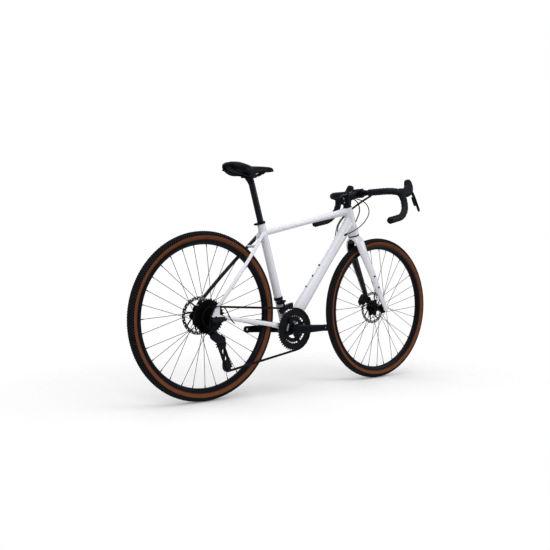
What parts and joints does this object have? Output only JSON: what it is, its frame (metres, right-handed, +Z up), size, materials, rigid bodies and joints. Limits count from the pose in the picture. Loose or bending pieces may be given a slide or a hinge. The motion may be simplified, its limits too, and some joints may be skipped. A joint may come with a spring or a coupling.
{
  "type": "gravel bike",
  "caption": "Gravel bike with flared drop bar, spoked wheels, disc brakes, chain drive with front and rear derailleurs, straight-bladed fork and sliding seatpost with a padded saddle.",
  "frame": {"origin": "on the ground, midway between the two tyre contact points, in the middle plane of the bike", "axes": "+X forwards along the wheelbase, +Y to the left of the rider, +Z up; the drive side is -Y"},
  "size_m": [1.7298, 0.5438, 0.9922],
  "materials": {
    "frame_paint": "gloss",
    "black_alloy": "satin anodised",
    "dark_alloy": "satin anodised",
    "steel": "brushed",
    "dark_steel": "satin",
    "tyre": "matt",
    "tape": "matt",
    "hood_rubber": "matt",
    "cable_sheath": "satin",
    "pad_cover": "satin",
    "black_plastic": "matt"
  },
  "bodies": {
    "frame": {"head_tube": "frame_paint", "top_tube": "frame_paint", "down_tube": "frame_paint", "seat_tube": "frame_paint", "bottom_bracket_shell": "frame_paint", "chainstays": "frame_paint", "seatstays": "frame_paint", "dropouts": "frame_paint", "seat_clamp": "black_alloy", "headset_cups": "dark_alloy", "bottom_bracket_cups": "black_alloy", "rear_axle": "dark_alloy", "rear_caliper": "black_alloy", "front_derailleur_mount": "black_alloy", "frame_cables": "cable_sheath", "frame_bolts": "dark_steel", "chain": "steel", "derailleur_knuckle": "black_alloy"},
    "seatpost": {"seatpost": "black_alloy", "saddle_cradle": "black_alloy", "saddle_rails": "dark_steel", "saddle_shell": "black_plastic", "saddle_pad": "pad_cover"},
    "steering": {"fork_crown": "frame_paint", "fork_blades": "frame_paint", "headset_spacers": "black_alloy", "stem": "black_alloy", "handlebar": "black_alloy", "bar_tape": "tape", "bar_end_plugs": "black_plastic", "lever_hoods": "hood_rubber", "front_axle": "dark_alloy", "front_caliper": "black_alloy", "steering_cables": "cable_sheath", "steering_bolts": "steel"},
    "brake_lever_left": {"brake_lever_left": "black_alloy"},
    "brake_lever_right": {"brake_lever_right": "black_alloy"},
    "shift_paddle_left": {"shift_paddle_left": "black_plastic"},
    "shift_paddle_right": {"shift_paddle_right": "black_plastic"},
    "front_wheel": {"front_tyre": "tyre", "front_rim": "black_alloy", "front_spokes": "steel", "front_hub": "black_alloy", "front_rotor": "steel"},
    "rear_wheel": {"rear_tyre": "tyre", "rear_rim": "black_alloy", "rear_spokes": "steel", "rear_hub": "black_alloy", "rear_rotor": "steel"},
    "cassette": {"cassette": "dark_steel"},
    "crankset": {"crank_right": "black_alloy", "crank_left": "black_alloy", "chainrings": "dark_steel"},
    "front_derailleur_cage": {"front_derailleur_cage": "dark_steel"},
    "derailleur_outer_link": {"derailleur_outer_link": "black_alloy"},
    "derailleur_inner_link": {"derailleur_inner_link": "black_alloy"},
    "derailleur_p_knuckle": {"derailleur_p_knuckle": "black_alloy"},
    "derailleur_cage": {"derailleur_cage": "dark_steel"},
    "pulley_upper": {"pulley_upper": "black_plastic"},
    "pulley_lower": {"pulley_lower": "black_plastic"}
  },
  "joints": [
    {"name": "steering", "type": "hinge", "parent": "frame", "child": "steering", "pos_m": [0.33647, 0, 0.70571], "axis": [-0.3256, 0, 0.9455], "range_deg": [-45, 45], "deforming": ["steering_cables"]},
    {"name": "seatpost_slide", "type": "slide", "parent": "frame", "child": "seatpost", "axis": [-0.2977, 0, 0.9547], "range_m": [-0.1, 0.06]},
    {"name": "front_wheel_spin", "type": "hinge", "parent": "steering", "child": "front_wheel", "pos_m": [0.515, 0, 0.35], "axis": [0, 1, 0], "continuous": true},
    {"name": "rear_wheel_spin", "type": "hinge", "parent": "frame", "child": "rear_wheel", "pos_m": [-0.515, 0, 0.35], "axis": [0, 1, 0], "continuous": true},
    {"name": "crank_spin", "type": "hinge", "parent": "frame", "child": "crankset", "pos_m": [-0.07797, 0, 0.2775], "axis": [0, 1, 0], "continuous": true, "deforming": ["chain"]},
    {"name": "cassette_spin", "type": "hinge", "parent": "frame", "child": "cassette", "pos_m": [-0.515, 0, 0.35], "axis": [0, 1, 0], "continuous": true},
    {"name": "brake_lever_left_pull", "type": "hinge", "parent": "steering", "child": "brake_lever_left", "pos_m": [0.50928, 0.20447, 0.93069], "axis": [0, 0.9516, 0.3074], "range_deg": [0, 18], "stiffness_Nm_per_rad": 1, "springref_deg": -8.59},
    {"name": "shift_paddle_left_push", "type": "hinge", "parent": "brake_lever_left", "child": "shift_paddle_left", "pos_m": [0.50821, 0.21751, 0.8903], "axis": [-0.9691, 0.0758, -0.2347], "range_deg": [0, 16], "stiffness_Nm_per_rad": 0.3, "springref_deg": -5.73},
    {"name": "brake_lever_right_pull", "type": "hinge", "parent": "steering", "child": "brake_lever_right", "pos_m": [0.50928, -0.20447, 0.93069], "axis": [0, 0.9516, -0.3074], "range_deg": [0, 18], "stiffness_Nm_per_rad": 1, "springref_deg": -8.59},
    {"name": "shift_paddle_right_push", "type": "hinge", "parent": "brake_lever_right", "child": "shift_paddle_right", "pos_m": [0.50821, -0.21751, 0.8903], "axis": [0.9691, 0.0758, 0.2347], "range_deg": [0, 16], "stiffness_Nm_per_rad": 0.3, "springref_deg": -5.73},
    {"name": "front_derailleur_swing", "type": "hinge", "parent": "frame", "child": "front_derailleur_cage", "pos_m": [-0.13868, -0.044, 0.39926], "axis": [0.8949, 0, 0.4462], "range_deg": [-2, 12], "stiffness_Nm_per_rad": 4},
    {"name": "derailleur_outer_link_swing", "type": "hinge", "parent": "frame", "child": "derailleur_outer_link", "pos_m": [-0.52434, -0.07762, 0.29523], "axis": [0.3789, 0.7507, 0.5412], "range_deg": [-40, 28], "stiffness_Nm_per_rad": 4},
    {"name": "derailleur_inner_link_swing", "type": "hinge", "parent": "frame", "child": "derailleur_inner_link", "pos_m": [-0.53166, -0.06638, 0.28477], "axis": [0.3789, 0.7507, 0.5412], "range_deg": [-40, 28]},
    {"name": "derailleur_p_knuckle_swing", "type": "hinge", "parent": "derailleur_outer_link", "child": "derailleur_p_knuckle", "pos_m": [-0.48666, -0.07762, 0.26884], "axis": [0.3789, 0.7507, 0.5412], "range_deg": [-28, 40]},
    {"name": "derailleur_cage_swing", "type": "hinge", "parent": "derailleur_p_knuckle", "child": "derailleur_cage", "pos_m": [-0.47, -0.05, 0.248], "axis": [0, 1, 0], "range_deg": [-40, 30], "stiffness_Nm_per_rad": 2},
    {"name": "pulley_upper_spin", "type": "hinge", "parent": "derailleur_cage", "child": "pulley_upper", "pos_m": [-0.468, -0.04175, 0.238], "axis": [0, 1, 0], "continuous": true},
    {"name": "pulley_lower_spin", "type": "hinge", "parent": "derailleur_cage", "child": "pulley_lower", "pos_m": [-0.43029, -0.04175, 0.1443], "axis": [0, 1, 0], "continuous": true}
  ],
  "couplings": [
    {"joint": "cassette_spin", "follows": "crank_spin", "ratio": 2.1905},
    {"joint": "pulley_upper_spin", "follows": "crank_spin", "ratio": -4.1818},
    {"joint": "pulley_lower_spin", "follows": "crank_spin", "ratio": 4.1818},
    {"joint": "derailleur_inner_link_swing", "follows": "derailleur_outer_link_swing", "ratio": 1},
    {"joint": "derailleur_p_knuckle_swing", "follows": "derailleur_outer_link_swing", "ratio": -1}
  ]
}
